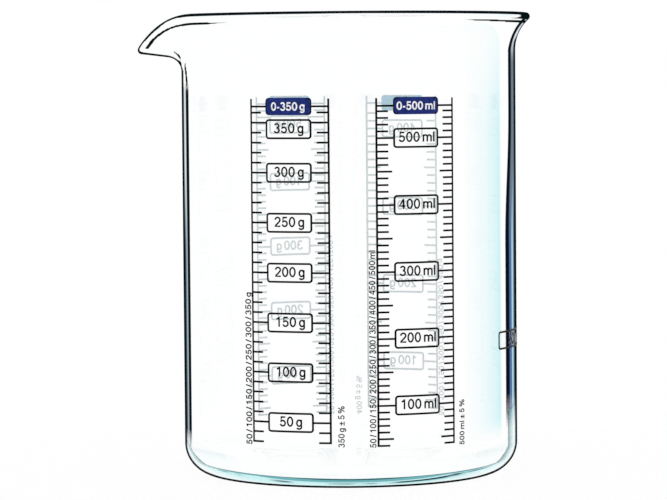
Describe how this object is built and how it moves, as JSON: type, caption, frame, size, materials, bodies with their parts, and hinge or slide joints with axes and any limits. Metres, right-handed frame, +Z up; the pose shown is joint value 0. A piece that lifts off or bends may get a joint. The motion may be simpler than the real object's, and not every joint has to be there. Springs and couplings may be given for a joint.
{
  "type": "measuring jug",
  "caption": "Straight-sided clear glass measuring jug with a flared rim, a pulled pouring spout and enamel scales for weight and volume on the wall.",
  "frame": {"origin": "middle of the flat ring that the jug stands on, at table height", "axes": "+Z up along the jug's axis, -X towards the pouring spout, -Y towards the flour and liquid scales"},
  "size_m": [0.1058, 0.098, 0.124],
  "materials": {
    "glass": "clear, fire-polished, faint blue-green edge",
    "enamel_black": "fired enamel, satin",
    "enamel_blue": "fired enamel, satin"
  },
  "bodies": {
    "root": {"glass_vessel": "glass", "flour_badge": "enamel_blue", "flour_left_ladder": "enamel_black", "flour_right_ladder": "enamel_black", "flour_value_frames": "enamel_black", "liquid_badge": "enamel_blue", "liquid_left_ladder": "enamel_black", "liquid_right_ladder": "enamel_black", "liquid_value_frames": "enamel_black", "sugar_badge": "enamel_blue", "sugar_left_ladder": "enamel_black", "sugar_right_ladder": "enamel_black", "sugar_value_frames": "enamel_black", "rice_badge": "enamel_blue", "rice_left_ladder": "enamel_black", "rice_right_ladder": "enamel_black", "rice_value_frames": "enamel_black", "side_mark": "enamel_black"}
  },
  "joints": []
}
